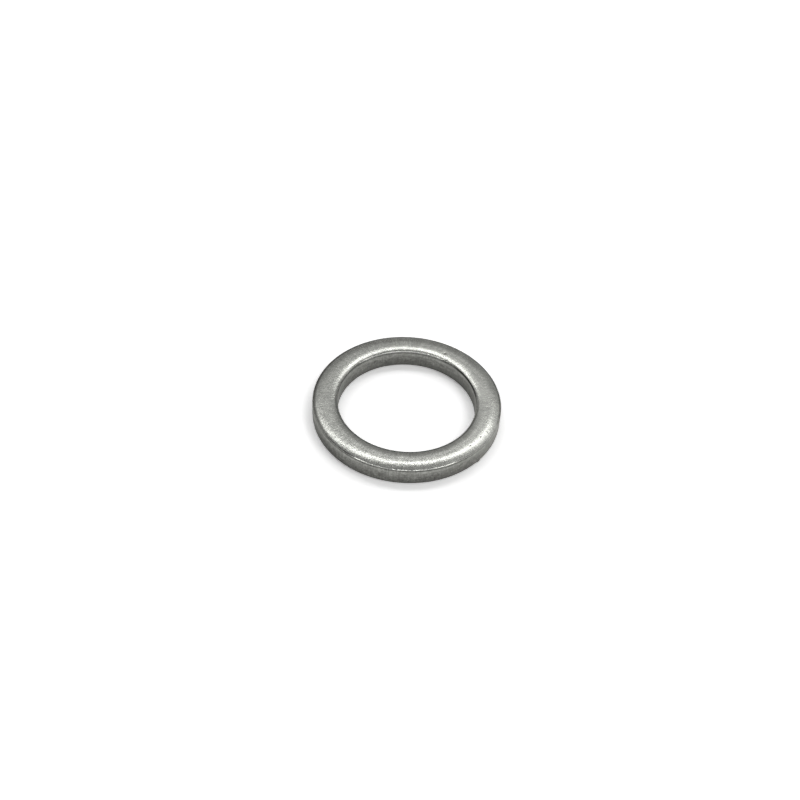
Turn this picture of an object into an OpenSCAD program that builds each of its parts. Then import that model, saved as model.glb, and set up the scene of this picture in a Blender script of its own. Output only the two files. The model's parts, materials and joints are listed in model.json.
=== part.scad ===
// Plain ring washer, punched from steel plate and tumbled until its edges went soft.
// The top is the rolled side of the punching: a narrow flat land between two shoulders,
// which fall away to the outer wall and to the bore. Each shoulder ends at a fine edge
// line, where a small corner round turns it down into the wall.
// The underside is flat, with both of its edges broken, and bears on the work.
// The bore axis is Z and the underside lies on the XY plane.

/* [Ring] */
// Outside diameter of the ring
outer_d = 22; // [19:0.1:30]
// Diameter of the bore
bore_d = 16.1; // [8:0.1:18]
// Thickness from the underside to the land on top
thickness = 2.3; // [1.2:0.05:4]

/* [Outer shoulder] */
// Radial width of the shoulder beside the outer wall
outer_roll_w = 1.4; // [0.6:0.05:2]
// Fall of the outer shoulder from the land to the wall
outer_roll_drop = 0.32; // [0.1:0.01:0.5]
// Radius of the corner between the outer shoulder and the wall
outer_corner_r = 0.21; // [0.08:0.01:0.3]

/* [Bore shoulder] */
// Radial width of the shoulder beside the bore
bore_roll_w = 1.1; // [0.5:0.05:1.5]
// Fall of the bore shoulder from the land to the wall
bore_roll_drop = 0.24; // [0.1:0.01:0.4]
// Radius of the corner between the bore shoulder and the wall
bore_corner_r = 0.27; // [0.08:0.01:0.35]

/* [Edges] */
// Overrun of each corner round past its shoulder, which leaves the fine edge line
edge_overrun = 0.006; // [0.002:0.001:0.012]
// Radius of the two broken edges of the underside
base_edge_r = 0.12; // [0.03:0.01:0.3]

/* [Hidden] */
$fa = 2;
$fs = 0.05;
outer_r = outer_d / 2;
bore_r = bore_d / 2;
ring_w = outer_r - bore_r;
// On a narrow ring both shoulders are narrowed alike, until they meet
roll_share = min(1, ring_w / (outer_roll_w + bore_roll_w));
// Length by which the cutting shapes run past the metal
clear = 0.5;

// Half section before its edges are shaped
module blank() {
    translate([bore_r, 0])
        square([ring_w, thickness]);
}

// What rolling takes off a top edge. The wall is at x = 0 with the metal at x < 0, and the
// land is at y = 0. The shoulder's arc leaves the land without a kink and falls by drop
// over width. The corner's arc leaves the wall without a kink and crosses the shoulder's.
module rolled_edge(width, drop, corner_r) {
    roll_r = (width * width + drop * drop) / (2 * drop);
    run = width - corner_r;
    rise = sqrt(pow(roll_r - corner_r + edge_overrun, 2) - run * run);
    centre = [-corner_r, rise - roll_r];
    lean = atan2(rise, run);
    reach = corner_r + clear;
    difference() {
        translate([-width, -drop - clear])
            square([width + clear, drop + 2 * clear]);
        translate([-width, -roll_r])
            circle(roll_r);
    }
    difference() {
        polygon([centre, centre + reach * [cos(lean), sin(lean)], centre + [reach, 0]]);
        translate(centre)
            circle(corner_r);
    }
}

// What is taken off a square edge of the underside, with the wall at x = 0 and the metal
// at x < 0 and y > 0
module broken_edge(radius) {
    difference() {
        translate([-radius, -clear])
            square([radius + clear, radius + clear]);
        translate([-radius, radius])
            circle(radius);
    }
}

module half_section() {
    difference() {
        blank();
        translate([outer_r, thickness])
            rolled_edge(outer_roll_w * roll_share, outer_roll_drop, outer_corner_r);
        translate([bore_r, thickness])
            mirror([1, 0])
                rolled_edge(bore_roll_w * roll_share, bore_roll_drop, bore_corner_r);
        translate([outer_r, 0])
            broken_edge(base_edge_r);
        translate([bore_r, 0])
            mirror([1, 0])
                broken_edge(base_edge_r);
    }
}

module washer_ring() {
    color([0.55, 0.55, 0.53])
        rotate_extrude()
            half_section();
}

washer_ring();
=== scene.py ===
"""Looks of a plain steel ring washer, punched from plate and tumbled until its edges went soft.

The ring's half section is drawn edge by edge and turned round the bore axis. Punching and
tumbling then leave their marks on the mesh: wavy faces, torn walls, a ragged lip along part
of each edge line, and a few dents. The ring lies on a white table, under a strip light with
two wings and a fill light.
"""

import json
import logging
import math
from dataclasses import dataclass
from enum import Enum
from functools import cached_property
from typing import Any, Callable, Optional, Union

import bmesh
import bpy
from mathutils import Matrix, Vector, noise


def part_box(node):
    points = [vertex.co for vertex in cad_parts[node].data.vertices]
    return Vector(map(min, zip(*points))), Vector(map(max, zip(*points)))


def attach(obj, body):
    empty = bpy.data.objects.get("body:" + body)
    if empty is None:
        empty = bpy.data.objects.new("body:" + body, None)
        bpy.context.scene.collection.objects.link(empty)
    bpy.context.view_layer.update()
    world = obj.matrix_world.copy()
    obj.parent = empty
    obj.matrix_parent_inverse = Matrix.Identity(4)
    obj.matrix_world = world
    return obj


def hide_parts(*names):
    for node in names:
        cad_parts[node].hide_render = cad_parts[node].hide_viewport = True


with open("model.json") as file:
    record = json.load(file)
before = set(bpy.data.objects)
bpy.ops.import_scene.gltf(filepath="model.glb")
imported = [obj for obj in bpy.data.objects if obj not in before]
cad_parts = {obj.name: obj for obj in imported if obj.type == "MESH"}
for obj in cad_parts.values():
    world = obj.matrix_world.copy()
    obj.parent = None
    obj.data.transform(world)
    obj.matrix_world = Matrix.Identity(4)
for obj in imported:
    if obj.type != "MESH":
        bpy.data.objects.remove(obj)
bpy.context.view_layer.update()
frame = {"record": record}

MM = 0.001
QUARTER_TURN = math.pi / 2
NODE = "washer_ring"

log = logging.getLogger("washer")

Colour = tuple[float, float, float]
Band = tuple[float, float]
Value = Union["Term", float]


class Region(Enum):
    """Parts of the ring's surface that wear in their own way."""

    TOP = "top"
    WALLS = "walls"
    LIPS = "lips"


class Term:
    """A value inside a material, whose arithmetic adds Math nodes."""

    def __init__(self, sketch: "Sketch", socket: bpy.types.NodeSocket) -> None:
        """Keeps the socket and the sketch it belongs to."""
        self.sketch = sketch
        self.socket = socket

    def _math(self, operation: str, *operands: Value) -> "Term":
        """Adds one Math node.

        Args:
            operation: The Math node's operation.
            operands: Its inputs, in order.

        Returns:
            The node's result.
        """
        return self.sketch.node("ShaderNodeMath", {"operation": operation}, dict(enumerate(operands)))

    def __add__(self, other: Value) -> "Term":
        """This value plus another."""
        return self._math("ADD", self, other)

    def __radd__(self, other: Value) -> "Term":
        """Another value plus this one."""
        return self._math("ADD", other, self)

    def __sub__(self, other: Value) -> "Term":
        """This value less another."""
        return self._math("SUBTRACT", self, other)

    def __rsub__(self, other: Value) -> "Term":
        """Another value less this one."""
        return self._math("SUBTRACT", other, self)

    def __mul__(self, other: Value) -> "Term":
        """This value times another."""
        return self._math("MULTIPLY", self, other)

    def __rmul__(self, other: Value) -> "Term":
        """Another value times this one."""
        return self._math("MULTIPLY", other, self)

    def __truediv__(self, other: Value) -> "Term":
        """This value divided by another."""
        return self._math("DIVIDE", self, other)

    def __rtruediv__(self, other: Value) -> "Term":
        """Another value divided by this one."""
        return self._math("DIVIDE", other, self)

    def __pow__(self, other: Value) -> "Term":
        """This value to a power."""
        return self._math("POWER", self, other)

    def __rpow__(self, other: Value) -> "Term":
        """Another value to the power of this one."""
        return self._math("POWER", other, self)

    def larger(self, other: Value) -> "Term":
        """The larger of this value and another."""
        return self._math("MAXIMUM", self, other)

    def rise(self, low: float, high: float) -> "Term":
        """A smooth step.

        Args:
            low: Value at which the step is still 0.
            high: Value at which it has reached 1.

        Returns:
            A value from 0 to 1.
        """
        limits = {"From Min": low, "From Max": high, "Value": self}
        return self.sketch.node("ShaderNodeMapRange", {"interpolation_type": "SMOOTHSTEP"}, limits)

    def fall(self, low: float, high: float) -> "Term":
        """The smooth step that goes from 1 down to 0."""
        return 1 - self.rise(low, high)


class Sketch:
    """A node tree that is written as Python expressions."""

    # Sockets of a Mix node that mixes colours
    SHARE, FIRST, SECOND, MIXED = 0, 6, 7, 2

    def __init__(self, tree: bpy.types.NodeTree) -> None:
        """Empties the tree and keeps it."""
        self.tree = tree
        tree.nodes.clear()

    def node(self, kind: str, settings: dict[str, Any], sockets: dict[Union[str, int], Any],
             out: Union[str, int] = 0) -> Term:
        """Adds any node.

        Args:
            kind: The node's type.
            settings: Its own settings, which are set first.
            sockets: Values or terms for its input sockets, by name or number.
            out: The output that is wanted, by name or number.

        Returns:
            That output.
        """
        made = self.tree.nodes.new(kind)
        for key, value in settings.items():
            setattr(made, key, value)
        for key, value in sockets.items():
            if isinstance(value, Term):
                self.tree.links.new(value.socket, made.inputs[key])
            else:
                made.inputs[key].default_value = value
        return Term(self, made.outputs[out] if len(made.outputs) else None)

    def part(self, vector: Term, axis: int) -> Term:
        """One part of a vector, by the number of its axis."""
        return self.node("ShaderNodeSeparateXYZ", {}, {0: vector}, axis)

    def vector(self, x: Value, y: Value, z: Value) -> Term:
        """A vector made of its three parts."""
        return self.node("ShaderNodeCombineXYZ", {}, {0: x, 1: y, 2: z})

    def scaled(self, vector: Term, factors: Colour) -> Term:
        """A vector with each of its parts multiplied."""
        return self.node("ShaderNodeVectorMath", {"operation": "MULTIPLY"}, {0: vector, 1: factors})

    def mix(self, share: Value, first: Any, second: Any) -> Term:
        """Goes from one colour to another as the share goes from 0 to 1."""
        sockets = {self.SHARE: share, self.FIRST: first, self.SECOND: second}
        return self.node("ShaderNodeMix", {"data_type": "RGBA"}, sockets, self.MIXED)

    def times(self, first: Any, second: Any) -> Term:
        """One colour times another.

        Args:
            first: A colour.
            second: Another colour.

        Returns:
            Their product.
        """
        settings = {"data_type": "RGBA", "blend_type": "MULTIPLY"}
        sockets = {self.SHARE: 1.0, self.FIRST: first, self.SECOND: second}
        return self.node("ShaderNodeMix", settings, sockets, self.MIXED)

    def grey(self, value: Term) -> Term:
        """The grey colour of a value."""
        return self.node("ShaderNodeCombineColor", {}, {0: value, 1: value, 2: value})


def solid(colour: Colour) -> tuple[float, float, float, float]:
    """A colour with full opacity."""
    return (*colour, 1.0)


@dataclass(frozen=True)
class Pattern:
    """Soft cloudy noise about MIDDLE, with its scale in patches for each millimetre."""

    MIDDLE = 0.5

    scale: float
    detail: float
    rough: float

    def read(self, at: Term) -> Term:
        """The noise at a place."""
        sockets = {"Vector": at, "Scale": self.scale, "Detail": self.detail, "Roughness": self.rough}
        return at.sketch.node("ShaderNodeTexNoise", {}, sockets)


@dataclass(frozen=True)
class Span:
    """A stretch of the ring's circumference, in degrees, which fades out at its ends."""

    middle: float
    half: float
    fade: float = 5.0

    @property
    def way(self) -> Vector:
        """Direction of its middle."""
        around = math.radians(self.middle)
        return Vector((math.cos(around), math.sin(around), 0))

    @property
    def start(self) -> float:
        """Cosine of the angle from the middle at which it begins."""
        return math.cos(math.radians(self.half + self.fade))

    @property
    def full(self) -> float:
        """Cosine of the angle from the middle at which it is full."""
        return math.cos(math.radians(self.half - self.fade))

    def share(self, flat: Vector) -> float:
        """How much of it is present at a place.

        Args:
            flat: The place, at height 0.

        Returns:
            A value from 0 to 1.
        """
        if not flat.length:
            return 0.0
        inside = (flat.normalized().dot(self.way) - self.start) / (self.full - self.start)
        return min(1.0, max(0.0, inside))


@dataclass(frozen=True)
class Dent:
    """One dent, given by its place on the ring and the way the metal was pushed."""

    angle: float
    radius: float
    height: float
    push: float
    reach: float
    # Share of the darkening round the dent
    darkening: float = 1.0

    def place(self) -> Vector:
        """The dent's place on the ring."""
        around = math.radians(self.angle)
        return Vector((self.radius * math.cos(around), self.radius * math.sin(around), self.height))


class Spot:
    """Where a spot of the ring's surface lies, in millimetres, as values inside its material."""

    # Distances past an edge line between which a face becomes a wall
    WALL_FADE: Band = (-0.015, 0.03)

    def __init__(self, sk: Sketch, ring: "WasherRing") -> None:
        """Works out the spot's place, and its place beside each edge line.

        Args:
            sk: The material's node tree.
            ring: The ring that the material is for.
        """
        self.sk = sk
        self.ring = ring
        self.at = sk.scaled(sk.node("ShaderNodeTexCoord", {}, {}, "Object"), (1 / MM,) * 3)
        self.x, self.y, self.z = (sk.part(self.at, axis) for axis in range(3))
        self.r = (self.x * self.x + self.y * self.y) ** 0.5
        self.side = self.x / self.r
        outer, bore = ring.outer_lip / MM, ring.bore_lip / MM
        self.past_outer, self.over_outer = self.r - outer.x, self.z - outer.z
        self.past_bore, self.over_bore = bore.x - self.r, self.z - bore.z
        self.outer_wall = self.past_outer.rise(*self.WALL_FADE)
        self.bore_wall = self.past_bore.rise(*self.WALL_FADE)
        self.wall = self.outer_wall.larger(self.bore_wall)

    def towards(self, span: Span) -> Term:
        """1 on a stretch of the circumference, fading to 0 at its ends."""
        way = (self.x * span.way.x + self.y * span.way.y) / self.r
        return way.rise(span.start, span.full)

    def wrapped(self, reach: float, across: Term) -> Term:
        """A place for a pattern that runs across the ring's circumference.

        Args:
            reach: Radius at which the pattern has its true scale.
            across: What the pattern slowly changes with.

        Returns:
            The place.
        """
        return self.sk.vector(self.side * reach, self.y / self.r * reach, across)


@dataclass(frozen=True)
class EdgeShadeAndGlint:
    """Painted shade on the rims and corners along the edges and at the walls' feet, kept off the lips'
    crests, and a painted highlight on the bore's crest.

    A band is the pair of places between which a mark fades in or out, in mm past an edge line
    or above it. A depth is the mark's share of the dark colour, and a relief is what a
    stretch with lighter painted shade takes off it.
    """

    # Painted shade on the rims, lighter along the lips and deeper on the shaded stretch
    outer_rim: Band = (-0.26, -0.06)
    outer_rim_depth: float = 0.95
    lip_relief: float = 0.5
    shaded_rim: Band = (-0.42, -0.1)
    shaded_rim_depth: float = 0.93
    soft_rim_relief: float = 0.75
    bore_rim: Band = (-0.32, -0.08)
    bore_rim_depth: float = 0.75

    # Painted shade on the corners below the edge lines
    outer_corner: Band = (-0.2, -0.08)
    outer_corner_depth: float = 0.85
    soft_corner_relief: float = 0.6
    bore_corner: Band = (-0.3, -0.14)
    bore_corner_depth: float = 0.55

    # Painted shade at the feet of the walls, by height above the table, and darker at the ring's left
    foot: Band = (0.05, 0.3)
    foot_shade_depth: float = 0.5
    left: Band = (-0.9, -0.5)
    left_foot_shade_depth: float = 0.4

    patches: Pattern = Pattern(1.7, 3.0, 0.6)
    patch_edge: Band = (0.36, 0.6)
    patch_share: float = 0.5

    # Crests, which are only as high as the lips
    outer_crest_start: Band = (-0.11, -0.06)
    outer_crest_end: Band = (0.01, 0.03)
    bore_crest_start: Band = (-0.06, -0.02)
    bore_crest_end: Band = (0.06, 0.1)
    crest_height: Band = (1.9, 1.98)

    # Painted shade, near black, in the undercut on part of the bore's corner
    undercut_start: Band = (-0.08, 0.0)
    undercut_height: Band = (-0.18, -0.06)

    def dark(self, spot: Spot) -> Term:
        """Paints shade on the rims, the corners and the feet of the walls.

        Args:
            spot: The spot on the ring.

        Returns:
            The share of the painted shade's dark colour.
        """
        soft = spot.towards(spot.ring.soft_span)
        patches = self.patches.read(spot.at).rise(*self.patch_edge)
        patchy = patches * self.patch_share + (1 - self.patch_share)
        outer_depth = self.outer_rim_depth - spot.towards(spot.ring.outer_lip_span) * self.lip_relief
        outer_rim = spot.past_outer.rise(*self.outer_rim) * outer_depth * patchy
        shaded_rim = spot.past_outer.rise(*self.shaded_rim) * spot.towards(spot.ring.shaded_rim_span)
        outer_rim = outer_rim.larger(shaded_rim * self.shaded_rim_depth) * (1 - soft * self.soft_rim_relief)
        bore_rim = spot.past_bore.rise(*self.bore_rim) * self.bore_rim_depth
        rim = outer_rim.larger(bore_rim) * (1 - spot.wall)

        corner_depth = self.outer_corner_depth - soft * self.soft_corner_relief
        outer_corner = spot.outer_wall * spot.over_outer.rise(*self.outer_corner) * corner_depth * patchy
        bore_corner = spot.bore_wall * spot.over_bore.rise(*self.bore_corner) * self.bore_corner_depth
        foot_shade_depth = spot.side.fall(*self.left) * self.left_foot_shade_depth + self.foot_shade_depth
        foot = spot.wall * spot.z.fall(*self.foot) * foot_shade_depth
        return outer_corner.larger(bore_corner).larger(foot).larger(rim)

    def crests(self, spot: Spot) -> tuple[Term, Term]:
        """Finds the crests of the lips.

        Args:
            spot: The spot on the ring.

        Returns:
            The share of a crest at the lips' height, and of the bore's crest at any height.
        """
        outer = spot.towards(spot.ring.outer_lip_span)
        outer = outer * spot.past_outer.rise(*self.outer_crest_start)
        outer = outer * spot.past_outer.fall(*self.outer_crest_end)
        bore = spot.towards(spot.ring.bore_lip_span)
        bore = bore * spot.past_bore.rise(*self.bore_crest_start)
        bore = bore * spot.past_bore.fall(*self.bore_crest_end)
        return outer.larger(bore) * spot.z.rise(*self.crest_height), bore

    def undercut(self, spot: Spot) -> Term:
        """The share of painted shade in the undercut part of the bore's corner."""
        corner = spot.past_bore.rise(*self.undercut_start) * spot.over_bore.rise(*self.undercut_height)
        return spot.towards(spot.ring.nook_span) * corner


@dataclass(frozen=True)
class WallLightAndShade:
    """Painted light and shade on the torn walls, by height in mm and by side, from -1 at the left to 1 at
    the right.
    """

    # Painted reflection of the lit table, lighter up each wall, and a painted sheen near its top
    climb: Band = (-0.2, 1.9)
    climb_reflection_gain: float = 0.36
    top: Band = (1.4, 1.75)
    top_sheen_gain: float = 0.26
    tear_gain: float = 1.2

    # Painted shade low on the left of the outer wall, and painted light on its right
    left: Band = (-0.95, -0.5)
    left_height: Band = (0.3, 1.5)
    left_shade_loss: float = 0.45
    right: Band = (0.6, 0.95)
    right_painted_light: float = 0.52
    right_climb_loss: float = 0.3

    # Painted shade on the bore's wall, with less of it at the bore's left
    bore_shade_loss: float = 0.18
    bore_left: Band = (-0.9, 0.0)
    bore_left_gain: float = 0.26

    def light(self, spot: Spot, tear: Term) -> Term:
        """Works out the painted light and shade, with the tears' own tone.

        Args:
            spot: The spot on the ring.
            tear: Noise of the torn metal.

        Returns:
            The share of the walls' light colour.
        """
        climb = spot.z.rise(*self.climb)
        even = climb * self.climb_reflection_gain + spot.z.rise(*self.top) * self.top_sheen_gain
        torn = (tear - Pattern.MIDDLE) * self.tear_gain
        left = spot.side.fall(*self.left) * spot.z.fall(*self.left_height) * self.left_shade_loss
        right = spot.side.rise(*self.right) * (self.right_painted_light - climb * self.right_climb_loss)
        bore = self.bore_shade_loss - spot.side.fall(*self.bore_left) * self.bore_left_gain
        return even + torn + spot.outer_wall * (right - left) - spot.bore_wall * bore


@dataclass(frozen=True)
class GrainLayer:
    """One layer of the grain, with the strengths of its tone and relief on a face and on a wall."""

    pattern: Pattern
    tone: Band
    relief: Band
    calms: bool = True

    @staticmethod
    def strength(pair: Band, wall: Term) -> Value:
        """Strength at a spot.

        Args:
            pair: The strengths on a face and on a wall.
            wall: 1 on the walls and 0 on the faces.

        Returns:
            The strength, as a plain number where it is the same on both.
        """
        face, torn = pair
        return face if face == torn else face + wall * (torn - face)


@dataclass(frozen=True)
class SteelGrain:
    """Sandy grain, radial streaks on the faces, and upright shear marks and tears on the walls."""

    sand: GrainLayer = GrainLayer(Pattern(3.4, 2.0, 0.6), tone=(0.38, 0.68), relief=(0.75, 0.75))
    dust: GrainLayer = GrainLayer(Pattern(7.0, 1.0, 0.6), tone=(0.55, 0.95), relief=(0.25, 0.25))
    streak: GrainLayer = GrainLayer(Pattern(4.2, 2.0, 0.5), tone=(0.42, 0.0), relief=(0.6, 0.0))
    shear: GrainLayer = GrainLayer(Pattern(5.5, 2.0, 0.65), (0.0, 0.85), (0.0, 1.4), calms=False)
    tear: GrainLayer = GrainLayer(Pattern(2.4, 3.0, 0.62), (0.0, 0.0), (0.0, 3.0), calms=False)

    wrap_r: float = 9.5
    streak_change: float = 0.22
    shear_change: float = 0.16
    tear_stretch: Colour = (0.75, 0.75, 1.25)

    # The grain is calmer at the ring's right
    calm: Band = (0.1, 0.9)
    calm_share: float = 0.35

    # Painted light makes the ring a little paler at its right; it is darker on one worn stretch of its outer
    # shoulder
    right_painted_light: float = 0.06
    worn_start: Band = (9.6, 10.1)
    worn_end: Band = (10.3, 10.55)
    worn_loss: float = 0.24

    def noises(self, spot: Spot) -> dict[GrainLayer, Term]:
        """Reads every layer's noise.

        Args:
            spot: The spot on the ring.

        Returns:
            The noise of each layer.
        """
        places = {
            self.sand: spot.at,
            self.dust: spot.at,
            self.streak: spot.wrapped(self.wrap_r, spot.r * self.streak_change),
            self.shear: spot.wrapped(self.wrap_r, spot.z * self.shear_change),
            self.tear: spot.sk.scaled(spot.at, self.tear_stretch),
        }
        return {layer: layer.pattern.read(place) for layer, place in places.items()}

    def liveliness(self, spot: Spot) -> Term:
        """Strength of the grain round the ring."""
        return 1 - spot.side.rise(*self.calm) * self.calm_share

    def tone(self, spot: Spot, noises: dict[GrainLayer, Term]) -> Term:
        """Lightens and darkens the metal with its grain and wear, and paints light on its right side.

        Args:
            spot: The spot on the ring.
            noises: The noise of each layer.

        Returns:
            What the colour is multiplied by.
        """
        speckle = sum((value - Pattern.MIDDLE) * layer.strength(layer.tone, spot.wall)
                      for layer, value in noises.items() if any(layer.tone))
        worn = spot.towards(spot.ring.worn_span) * spot.r.rise(*self.worn_start)
        worn = worn * spot.r.fall(*self.worn_end)
        return speckle * self.liveliness(spot) + 1.0 + spot.side * self.right_painted_light - worn * self.worn_loss

    def relief(self, spot: Spot, noises: dict[GrainLayer, Term]) -> Term:
        """Raises the grain.

        Args:
            spot: The spot on the ring.
            noises: The noise of each layer.

        Returns:
            The height of the surface, as a share of the grain's depth.
        """
        heights = {layer: value * layer.strength(layer.relief, spot.wall) for layer, value in noises.items()}
        grains = sum(height for layer, height in heights.items() if layer.calms)
        scores = sum(height for layer, height in heights.items() if not layer.calms)
        return grains * self.liveliness(spot) + scores


@dataclass(frozen=True)
class Pits:
    """Small dark pits on the faces, darkening round the dents, and scuffs low on the outer wall."""

    cell_scale: float = 1.05
    core: Band = (0.04, 0.12)
    choice: Pattern = Pattern(0.9, 0.0, 0.5)
    choice_edge: Band = (0.54, 0.58)
    dent_core: Band = (0.25, 0.7)
    depth: float = 0.8

    scuff: Pattern = Pattern(3.6, 1.0, 0.6)
    scuff_stretch: Colour = (0.85, 0.85, 1.15)
    scuff_edge: Band = (0.5, 0.62)
    scuff_height: Band = (0.6, 1.5)
    scuff_depth: float = 0.6

    def holes(self, spot: Spot) -> Term:
        """Finds the pits and dents.

        Args:
            spot: The spot on the ring.

        Returns:
            1 inside them.
        """
        sk = spot.sk
        cell = sk.node("ShaderNodeTexVoronoi", {}, {"Vector": spot.at, "Scale": self.cell_scale}, "Distance")
        holes = cell.fall(*self.core) * self.choice.read(spot.at).rise(*self.choice_edge)
        for dent in spot.ring.dents:
            ends = {0: spot.at, 1: dent.place() / MM}
            gap = sk.node("ShaderNodeVectorMath", {"operation": "DISTANCE"}, ends, "Value")
            near, away = (share * dent.reach / MM for share in self.dent_core)
            holes = holes.larger(gap.fall(near, away) * dent.darkening)
        return holes

    def dark(self, spot: Spot, holes: Term) -> Term:
        """Darkens the pits, dents and scuffs.

        Args:
            spot: The spot on the ring.
            holes: 1 inside the pits and dents.

        Returns:
            The share of the pits' colour.
        """
        scuffs = self.scuff.read(spot.sk.scaled(spot.at, self.scuff_stretch)).rise(*self.scuff_edge)
        low = spot.outer_wall * spot.z.fall(*self.scuff_height) * spot.towards(spot.ring.scuffed_span)
        return (holes * self.depth).larger(scuffs * low * self.scuff_depth)


@dataclass(frozen=True)
class TumbledSteel:
    """Bare steel with a sandy tumbled grain on the faces and dull, torn walls, with light and shade painted
    on its walls and edges.
    """

    face: Colour = (0.455, 0.461, 0.432)
    face_dull: Colour = (0.405, 0.41, 0.385)
    wall: Colour = (0.37, 0.374, 0.348)
    # The walls' darker colour, for their tears and their painted shade
    wall_torn_and_shaded: Colour = (0.15, 0.151, 0.14)
    # Dark colour of the painted shade along the edges
    edge: Colour = (0.12, 0.121, 0.113)
    pit: Colour = (0.12, 0.117, 0.11)
    # Near-black painted shade in the bore's undercut
    undercut_shade: Colour = (0.035, 0.035, 0.032)
    # Paler burnished crest of the bore's lip, carrying a painted highlight
    burnish_and_glint: Colour = (0.6, 0.605, 0.575)
    grazing: Colour = (0.7, 0.7, 0.69)

    burnish_and_glint_share: float = 0.8
    face_rough: float = 0.25
    wall_rough: float = 0.37
    pit_rough: float = 0.2
    grain_depth: float = 0.018 * MM

    mottle: Pattern = Pattern(0.75, 3.0, 0.55)
    mottle_edge: Band = (0.36, 0.6)
    edges: EdgeShadeAndGlint = EdgeShadeAndGlint()
    walls: WallLightAndShade = WallLightAndShade()
    grain: SteelGrain = SteelGrain()
    pits: Pits = Pits()

    def material(self, ring: "WasherRing") -> bpy.types.Material:
        """Makes the finish.

        Args:
            ring: The ring it is for, whose sizes tell faces from walls.

        Returns:
            The material.
        """
        made = bpy.data.materials.new("tumbled_steel")
        made.use_nodes = True
        sk = Sketch(made.node_tree)
        spot = Spot(sk, ring)
        noises = self.grain.noises(spot)
        holes = self.pits.holes(spot)
        rough = self.face_rough + spot.wall * (self.wall_rough - self.face_rough) + holes * self.pit_rough
        relief = {"Distance": self.grain_depth, "Height": self.grain.relief(spot, noises)}
        shader = sk.node("ShaderNodeBsdfPrincipled", {}, {
            "Base Color": self._colour(spot, noises, holes),
            "Metallic": 1.0,
            "Roughness": rough,
            "Normal": sk.node("ShaderNodeBump", {}, {"Strength": 1.0, **relief}),
            "Specular Tint": solid(self.grazing),
        })
        sk.node("ShaderNodeOutputMaterial", {}, {"Surface": shader})
        return made

    def _colour(self, spot: Spot, noises: dict[GrainLayer, Term], holes: Term) -> Term:
        """Lays the colours over one another, from bare metal through painted light and shade to pits and
        grain.

        Args:
            spot: The spot on the ring.
            noises: The noise of each layer of the grain.
            holes: 1 inside the pits and dents.

        Returns:
            The colour.
        """
        sk = spot.sk
        dull = self.mottle.read(spot.at).fall(*self.mottle_edge)
        faces = sk.mix(dull, solid(self.face), solid(self.face_dull))
        # Painted light and shade on the walls, with the tears' own tone
        light = self.walls.light(spot, noises[self.grain.tear])
        walls = sk.mix(light, solid(self.wall_torn_and_shaded), solid(self.wall))
        colour = sk.mix(spot.wall, faces, walls)

        crest, bore_crest = self.edges.crests(spot)
        # Painted shade on the rims, corners and wall feet, kept off the lips' crests
        colour = sk.mix(self.edges.dark(spot) * (1 - crest), colour, solid(self.edge))
        # Burnish and painted highlight on the bore lip's crest
        colour = sk.mix(bore_crest * crest * self.burnish_and_glint_share, colour, solid(self.burnish_and_glint))
        # Painted shade, near black, in part of the bore's undercut
        colour = sk.mix(self.edges.undercut(spot), colour, solid(self.undercut_shade))
        colour = sk.mix(self.pits.dark(spot, holes), colour, solid(self.pit))
        return sk.times(colour, sk.grey(self.grain.tone(spot, noises)))


class SectionPen:
    """Draws an outline in the XZ plane, one vertex after another, in edit mode."""

    def __init__(self, name: str, r: float, z: float) -> None:
        """Puts the pen down.

        Args:
            name: Name of the new piece.
            r: Radius at which the outline starts.
            z: Height at which it starts.
        """
        bpy.ops.object.select_all(action="DESELECT")
        bpy.ops.mesh.primitive_plane_add(size=MM)
        bpy.context.object.name = name
        bpy.ops.object.mode_set(mode="EDIT")
        bpy.ops.mesh.select_all(action="SELECT")
        bpy.ops.mesh.merge(type="CENTER")
        bpy.ops.transform.translate(value=(r, 0, z))
        self.tip = Vector((r, 0, z))

    def line(self, r: float, z: float, steps: int) -> None:
        """Draws a straight line.

        Args:
            r: Radius at which it ends.
            z: Height at which it ends.
            steps: Number of equal edges.
        """
        step = (Vector((r, 0, z)) - self.tip) / steps
        for _ in range(steps):
            bpy.ops.mesh.extrude_region_move(TRANSFORM_OT_translate={"value": step})
        self.tip = Vector((r, 0, z))

    def arc(self, centre: Vector, turn: float, steps: int) -> None:
        """Draws an arc round a centre.

        Args:
            centre: The centre, in the XZ plane.
            turn: Angle in radians, counted from X towards Z.
            steps: Number of edges.
        """
        bpy.ops.mesh.spin(steps=steps, angle=turn, center=centre, axis=(0, 1, 0), use_auto_merge=False)
        self.tip = centre + Matrix.Rotation(-turn, 3, "Y") @ (self.tip - centre)


@dataclass(frozen=True)
class Shoulder:
    """A rolled top edge: a wide arc from the land, and a small corner round to the wall."""

    width: float
    drop: float
    corner_r: float
    roll_steps: int
    corner_steps: int
    lip_steps: int = 6
    overrun: float = 0.006 * MM

    @property
    def roll_r(self) -> float:
        """Radius of the wide arc."""
        return (self.width ** 2 + self.drop ** 2) / (2 * self.drop)

    def corner(self) -> tuple[float, float]:
        """Finds the centre of the corner round.

        Returns:
            Its distances inwards from the wall and down from the land.
        """
        run = self.width - self.corner_r
        rise = math.sqrt((self.roll_r - self.corner_r + self.overrun) ** 2 - run ** 2)
        return self.corner_r, self.roll_r - rise

    def edge(self) -> tuple[float, float]:
        """Finds the edge line, where the two arcs cross.

        Returns:
            Its distances inwards from the wall and down from the land.
        """
        big = Vector((self.width, self.roll_r))
        small = Vector(self.corner())
        gap = (small - big).length
        along = (self.roll_r ** 2 - self.corner_r ** 2 + gap ** 2) / (2 * gap)
        across = math.sqrt(max(0.0, self.roll_r ** 2 - along ** 2))
        ahead = (small - big) / gap
        side = Vector((-ahead.y, ahead.x))
        meets = [big + ahead * along + side * across, big + ahead * along - side * across]
        crossing = max(meets, key=lambda point: point.y)
        return crossing.x, crossing.y


@dataclass(frozen=True)
class Bump:
    """How far a region of the mesh is displaced, and the size of the patches, if it has any."""

    region: Region
    strength: float
    patch: Optional[float] = None


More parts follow.
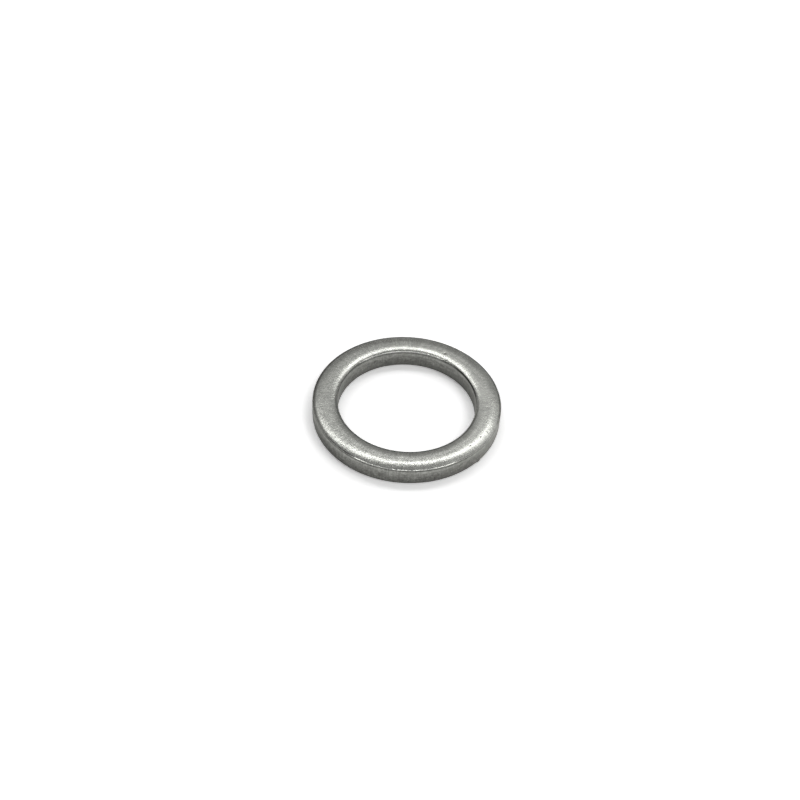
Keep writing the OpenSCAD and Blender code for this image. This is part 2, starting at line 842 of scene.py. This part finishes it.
@dataclass
class WasherRing:
    """The ring: its section, the marks that punching and tumbling left on it, and its finish."""

    outer_r: float
    bore_r: float
    thickness: float
    outer: Shoulder
    bore: Shoulder
    dents: tuple[Dent, ...]
    base_edge_r: float = 0.12 * MM

    # Number of edges round the ring and along each part of its section
    around: int = 768
    base_steps: int = 12
    base_edge_steps: int = 4
    wall_steps: int = 17
    land_steps: int = 6

    # Stretch of each shoulder that has finer edges, beside its edge line
    lip_zone: float = 0.16 * MM
    weld: float = 0.001 * MM

    bumps: tuple[Bump, ...] = (
        Bump(Region.TOP, 0.0025 * MM, 1.1 * MM),
        Bump(Region.WALLS, 0.04 * MM, 0.45 * MM),
        Bump(Region.LIPS, 0.045 * MM),
    )
    patch_depth: int = 2
    lip_width: float = 0.11 * MM
    lip_share: float = 0.6

    # Unevenness of the lips: share of their height, and length of its waves
    ragged: tuple[Band, ...] = ((0.9, 1.1 * MM), (0.5, 0.3 * MM))

    # Heights over which a wall's tears begin at its foot, and distance over which they end at its head
    tear_foot: Band = (0.02 * MM, 0.1 * MM)
    tear_head: float = 0.2 * MM

    outer_lip_span: Span = Span(272.5, 32.0)
    bore_lip_span: Span = Span(98.0, 37.0)
    # Stretch where the painted shade on the edges is lighter
    soft_span: Span = Span(327.0, 18.0, 9.0)
    # Stretch with painted shade in the bore's undercut
    nook_span: Span = Span(28.0, 18.0, 6.0)
    # Stretch where the outer rim's painted shade is deeper
    shaded_rim_span: Span = Span(140.0, 88.0, 25.0)
    worn_span: Span = Span(214.0, 18.0, 12.0)
    scuffed_span: Span = Span(262.0, 62.0, 14.0)

    @cached_property
    def outer_lip(self) -> Vector:
        """Place of the outer edge line in the XZ plane."""
        inset, fall = self.outer.edge()
        return Vector((self.outer_r - inset, 0, self.thickness - fall))

    @cached_property
    def bore_lip(self) -> Vector:
        """Place of the bore's edge line in the XZ plane."""
        inset, fall = self.bore.edge()
        return Vector((self.bore_r + inset, 0, self.thickness - fall))

    def build(self) -> bpy.types.Object:
        """Makes the ring.

        Returns:
            The finished piece.
        """
        self._draw_section()
        log.info("section drawn")
        piece = self._turn_section()
        log.info("section turned")
        self._wear(piece)
        log.info("faces, walls and lips worn")
        self._dent(piece)
        log.info("dents pushed in")
        bpy.ops.object.shade_smooth()
        piece.data.materials.clear()
        piece.data.materials.append(TumbledSteel().material(self))
        return piece

    def _draw_section(self) -> None:
        """Draws the closed outline of the half section, starting at the underside by the bore."""
        edge = self.base_edge_r
        pen = SectionPen("washer_ring_body", self.bore_r + edge, 0)
        pen.line(self.outer_r - edge, 0, self.base_steps)
        pen.arc(Vector((self.outer_r - edge, 0, edge)), QUARTER_TURN, self.base_edge_steps)
        self._draw_outer_side(pen)
        pen.line(self.bore_r + self.bore.width, self.thickness, self.land_steps)
        self._draw_bore_side(pen)
        pen.arc(Vector((self.bore_r + edge, 0, edge)), QUARTER_TURN, self.base_edge_steps)

    def _draw_outer_side(self, pen: SectionPen) -> None:
        """Draws up the outer wall, round its corner and over its shoulder to the land.

        Args:
            pen: The pen, at the foot of the wall.
        """
        roll, lip = self.outer, self.outer_lip
        inset, fall = roll.corner()
        small = Vector((self.outer_r - inset, 0, self.thickness - fall))
        big = Vector((self.outer_r - roll.width, 0, self.thickness - roll.roll_r))
        start = math.atan2(lip.z - big.z, lip.x - big.x)
        near = self.lip_zone / roll.roll_r
        pen.line(self.outer_r, small.z, self.wall_steps)
        pen.arc(small, math.atan2(lip.z - small.z, lip.x - small.x), roll.corner_steps)
        pen.arc(big, near, roll.lip_steps)
        pen.arc(big, QUARTER_TURN - start - near, roll.roll_steps)

    def _draw_bore_side(self, pen: SectionPen) -> None:
        """Draws from the land over the bore's shoulder, round its corner and down its wall.

        Args:
            pen: The pen, at the bore's side of the land.
        """
        roll, lip = self.bore, self.bore_lip
        inset, fall = roll.corner()
        small = Vector((self.bore_r + inset, 0, self.thickness - fall))
        big = Vector((self.bore_r + roll.width, 0, self.thickness - roll.roll_r))
        end = math.atan2(lip.z - big.z, lip.x - big.x)
        near = self.lip_zone / roll.roll_r
        pen.arc(big, end - near - QUARTER_TURN, roll.roll_steps)
        pen.arc(big, near, roll.lip_steps)
        pen.arc(small, math.pi - math.atan2(lip.z - small.z, lip.x - small.x), roll.corner_steps)
        pen.line(self.bore_r, self.base_edge_r, self.wall_steps)

    def _turn_section(self) -> bpy.types.Object:
        """Closes the section and turns it round the bore axis.

        Returns:
            The turned ring.
        """
        bpy.ops.mesh.select_all(action="SELECT")
        bpy.ops.mesh.remove_doubles(threshold=self.weld)
        bpy.ops.object.mode_set(mode="OBJECT")
        piece = bpy.context.object
        turn = piece.modifiers.new("turn", "SCREW")
        turn.steps = turn.render_steps = self.around
        turn.use_merge_vertices = True
        turn.merge_threshold = self.weld
        bpy.ops.object.modifier_apply(modifier=turn.name)
        bpy.ops.object.mode_set(mode="EDIT")
        bpy.ops.mesh.select_all(action="SELECT")
        bpy.ops.mesh.remove_doubles(threshold=self.weld)
        bpy.ops.mesh.normals_make_consistent(inside=False)
        bpy.ops.object.mode_set(mode="OBJECT")
        return piece

    def _on_top(self, place: Vector) -> float:
        """1 on the land and shoulders, and 0 elsewhere."""
        r = math.hypot(place.x, place.y)
        return float(place.z > self.outer_lip.z and self.bore_lip.x < r < self.outer_lip.x)

    def _on_wall(self, place: Vector) -> float:
        """Weighs the walls.

        Args:
            place: A place on the surface.

        Returns:
            1 or more on the middle of a wall, falling to 0 at its two ends and on the faces.
        """
        if self.bore_lip.x <= math.hypot(place.x, place.y) <= self.outer_lip.x:
            return 0.0
        start, full = self.tear_foot
        return min((place.z - start) / (full - start), (self.outer_lip.z - place.z) / self.tear_head)

    def _near_lip(self, place: Vector) -> float:
        """Weighs the lips.

        Args:
            place: A place on the surface.

        Returns:
            An uneven weight on the edge lines where a lip is left, falling to 0 a lip's width away.
        """
        r = math.hypot(place.x, place.y)
        outside = r > (self.outer_lip.x + self.bore_lip.x) / 2
        lip = self.outer_lip if outside else self.bore_lip
        span = self.outer_lip_span if outside else self.bore_lip_span
        flat = Vector((place.x, place.y, 0))
        uneven = 1 + sum(share * noise.noise(flat / wave) for share, wave in self.ragged)
        gap = math.hypot(r - lip.x, place.z - lip.z)
        return max(0.0, 1 - gap / self.lip_width) * span.share(flat) * uneven * self.lip_share

    def _weigh(self, piece: bpy.types.Object, region: Region,
               weight: Callable[[Vector], float]) -> str:
        """Adds a vertex group.

        Args:
            piece: The ring.
            region: The part of the surface that the group covers.
            weight: Gives a vertex's weight from its place.

        Returns:
            The group's name.
        """
        group = piece.vertex_groups.new(name=region.value)
        for vertex in piece.data.vertices:
            share = weight(vertex.co)
            if share > 0:
                group.add([vertex.index], min(1.0, share), "REPLACE")
        return region.value

    def _wear(self, piece: bpy.types.Object) -> None:
        """Roughens the mesh by region, with modifiers that are then applied.

        Args:
            piece: The ring.
        """
        weights = {Region.TOP: self._on_top, Region.WALLS: self._on_wall, Region.LIPS: self._near_lip}
        for bump in self.bumps:
            modifier = piece.modifiers.new(bump.region.value, "DISPLACE")
            modifier.direction = "NORMAL" if bump.patch else "Z"
            modifier.strength = bump.strength
            modifier.mid_level = 0.5 if bump.patch else 0.0
            if bump.patch:
                pattern = bpy.data.textures.new(bump.region.value, "CLOUDS")
                pattern.noise_scale = bump.patch
                pattern.noise_depth = self.patch_depth
                modifier.texture = pattern
                modifier.texture_coords = "LOCAL"
            modifier.vertex_group = self._weigh(piece, bump.region, weights[bump.region])
            bpy.ops.object.modifier_apply(modifier=modifier.name)

    def _dent(self, piece: bpy.types.Object) -> None:
        """Pushes each dent into the mesh.

        Args:
            piece: The ring.
        """
        bpy.ops.object.mode_set(mode="EDIT")
        bpy.context.tool_settings.mesh_select_mode = (True, False, False)
        for dent in self.dents:
            place = dent.place()
            bpy.ops.mesh.select_all(action="DESELECT")
            mesh = bmesh.from_edit_mesh(piece.data)
            nearest = min(mesh.verts, key=lambda vertex: (vertex.co - place).length_squared)
            nearest.select_set(True)
            inwards = -nearest.normal * dent.push
            bmesh.update_edit_mesh(piece.data)
            bpy.ops.transform.translate(
                value=inwards, use_proportional_edit=True,
                proportional_edit_falloff="SMOOTH", proportional_size=dent.reach)
        bpy.ops.object.mode_set(mode="OBJECT")


@dataclass(frozen=True)
class Table:
    """The white table, with enough light of its own to look white to the camera and in the metal."""

    size: float = 6.0
    white: float = 0.85
    bright: float = 1.42
    lift: float = 0.1
    backdrop: Band = (0.12, 0.6)

    def build(self) -> bpy.types.Object:
        """Makes the table top.

        Returns:
            The stage piece.
        """
        bpy.ops.object.select_all(action="DESELECT")
        bpy.ops.mesh.primitive_plane_add(size=self.size)
        top = bpy.context.object
        top.name = "table"
        made = bpy.data.materials.new("white_table")
        made.use_nodes = True
        self._paint(Sketch(made.node_tree))
        top.data.materials.append(made)
        return top

    def _paint(self, sk: Sketch) -> None:
        """Paints the table, brighter in what the camera sees and in what metal shows of it.

        Args:
            sk: The material's node tree.
        """
        camera, glossy, clear = (
            sk.node("ShaderNodeLightPath", {}, {}, ray)
            for ray in ("Is Camera Ray", "Is Glossy Ray", "Is Transmission Ray"))
        shows = camera.larger(glossy).larger(clear)
        white = self.white + shows * (self.bright - self.white)
        paint = sk.node("ShaderNodeBsdfDiffuse", {}, {"Color": sk.grey(white)})
        spot = sk.node("ShaderNodeTexCoord", {}, {}, "Object")
        away = sk.node("ShaderNodeVectorMath", {"operation": "LENGTH"}, {0: spot}, "Value")
        backdrop = away.rise(*self.backdrop) * camera
        glow = sk.node("ShaderNodeEmission", {}, {"Strength": shows * self.lift + backdrop})
        both = sk.node("ShaderNodeAddShader", {}, {0: paint, 1: glow})
        sk.node("ShaderNodeOutputMaterial", {}, {"Surface": both})


@dataclass(frozen=True)
class SoftLamp:
    """A rectangular soft light that faces the ring."""

    name: str
    size: tuple[float, float]
    at: tuple[float, float, float]
    radiance: float
    roll: float = 0.0

    def build(self) -> None:
        """Hangs the lamp."""
        lamp = bpy.data.lights.new(self.name, "AREA")
        lamp.shape = "RECTANGLE"
        lamp.size, lamp.size_y = self.size
        lamp.energy = self.radiance * math.pi * self.size[0] * self.size[1]
        hung = bpy.data.objects.new(self.name, lamp)
        bpy.context.collection.objects.link(hung)
        hung.location = self.at
        facing = (-Vector(self.at)).to_track_quat("-Z", "Y").to_matrix()
        hung.rotation_euler = (facing @ Matrix.Rotation(math.radians(self.roll), 3, "Z")).to_euler()


@dataclass(frozen=True)
class StudioLight:
    """A strip light with two wings beyond the ring and a fill at its right, in a soft grey room."""

    lamps: tuple[SoftLamp, ...] = (
        SoftLamp("strip", (0.36, 0.061), (0.0, 0.249, 0.502), radiance=4.8, roll=13.0),
        SoftLamp("right wing", (0.2, 0.085), (0.235, 0.35, 0.535), radiance=2.55),
        SoftLamp("left wing", (0.16, 0.085), (-0.26, 0.327, 0.575), radiance=4.7, roll=-12.0),
        SoftLamp("fill", (0.3, 0.3), (0.36, -0.14, 0.61), radiance=2.8),
    )
    room: float = 0.372

    # Glow of the room's far wall, beside a plane that leans back through the strip
    glow: float = 0.62
    strip_lean: float = 63.0
    glow_start: Band = (-0.5, -0.12)
    glow_end: Band = (0.0, 0.15)
    glow_far: Band = (0.0, 0.2)

    def build(self) -> None:
        """Hangs the lamps and paints the room, which glows a little on the wall below the strip."""
        for lamp in self.lamps:
            lamp.build()
        world = bpy.data.worlds.new("room")
        bpy.context.scene.world = world
        world.use_nodes = True
        sk = Sketch(world.node_tree)
        way = sk.node("ShaderNodeTexCoord", {}, {}, "Generated")
        far, up = sk.part(way, 1), sk.part(way, 2)
        lean = math.radians(self.strip_lean)
        above = up * math.cos(lean) - far * math.sin(lean)
        glow = above.rise(*self.glow_start) * above.fall(*self.glow_end) * far.rise(*self.glow_far)
        level = self.room + glow * self.glow
        seen = sk.node("ShaderNodeLightPath", {}, {}, "Is Camera Ray")
        level = level + seen * (1 - level)
        back = sk.node("ShaderNodeBackground", {}, {"Color": sk.grey(level), "Strength": 1.0})
        sk.node("ShaderNodeOutputWorld", {}, {"Surface": back})


@dataclass(frozen=True)
class PhotoCamera:
    """The camera, placed by where the ring's centre falls in the picture."""

    image_px: int = 800
    focal_px: float = 1197.86
    elevation: float = 45.937
    roll: float = -3.771
    distance: float = 140.84 * MM
    centre_px: tuple[float, float] = (406.19, 412.34)
    sensor: float = 36.0
    clip: Band = (0.005, 50.0)

    def build(self) -> bpy.types.Object:
        """Makes the camera and looks through it.

        Returns:
            The camera.
        """
        data = bpy.data.cameras.new("camera")
        data.sensor_width = self.sensor
        data.lens = self.sensor * self.focal_px / self.image_px
        data.clip_start, data.clip_end = self.clip
        camera = bpy.data.objects.new("camera", data)
        bpy.context.collection.objects.link(camera)
        bpy.context.scene.camera = camera

        tilt = math.radians(self.elevation)
        sine, cosine = math.sin(tilt), math.cos(tilt)
        level = Matrix(((1, 0, 0), (0, sine, cosine), (0, -cosine, sine)))
        rolled = Matrix.Rotation(math.radians(self.roll), 3, "Z") @ level
        half = self.image_px / 2
        across = (self.centre_px[0] - half) / self.focal_px
        down = (self.centre_px[1] - half) / self.focal_px
        centre = Vector((across, -down, -1)).normalized() * self.distance
        turned = Vector((0, 0, 1)).rotation_difference(-centre).to_matrix() @ rolled
        back = turned.transposed()
        camera.matrix_world = Matrix.Translation(-(back @ centre)) @ back.to_4x4()
        return camera


def ring_from_frame() -> WasherRing:
    """Takes the ring's main sizes from the frame.

    Returns:
        The ring, ready to build.
    """
    low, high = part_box(NODE)
    bore = next(mount for mount in frame["record"]["mounts"] if mount["name"] == "bore")
    top = high.z - low.z
    outer_r = (high.x - low.x) / 2
    dents = (
        Dent(angle=62.2, radius=9.15 * MM, height=top, push=0.03 * MM, reach=0.36 * MM),
        Dent(angle=318.0, radius=10.03 * MM, height=top, push=0.02 * MM, reach=0.2 * MM),
        Dent(angle=328.8, radius=10.08 * MM, height=top, push=0.02 * MM, reach=0.2 * MM),
        Dent(angle=335.0, radius=10.39 * MM, height=top, push=0.02 * MM, reach=0.2 * MM),
        Dent(angle=57.7, radius=8.21 * MM, height=top, push=0.03 * MM, reach=0.2 * MM),
        Dent(angle=356.5, radius=9.4 * MM, height=top, push=0.008 * MM, reach=0.4 * MM, darkening=0.15),
    )
    burr = Dent(angle=320.5, radius=outer_r, height=0.12 * MM, push=-0.09 * MM, reach=0.45 * MM, darkening=0.7)
    return WasherRing(
        outer_r=outer_r,
        bore_r=bore["dims"]["r_mm"] * MM,
        thickness=top,
        outer=Shoulder(width=1.4 * MM, drop=0.32 * MM, corner_r=0.21 * MM, roll_steps=12, corner_steps=6),
        bore=Shoulder(width=1.1 * MM, drop=0.24 * MM, corner_r=0.27 * MM, roll_steps=9, corner_steps=7),
        dents=(*dents, burr),
    )


def main() -> None:
    """Builds the scene in order."""
    logging.basicConfig(level=logging.INFO, format="%(asctime)s %(name)s: %(message)s")
    bpy.context.scene.view_settings.view_transform = "Standard"
    PhotoCamera().build()
    StudioLight().build()
    Table().build()
    piece = ring_from_frame().build()
    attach(piece, "root")
    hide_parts(NODE)
    log.info("%s: %d faces", piece.name, len(piece.data.polygons))


if __name__ == "__main__":
    main()
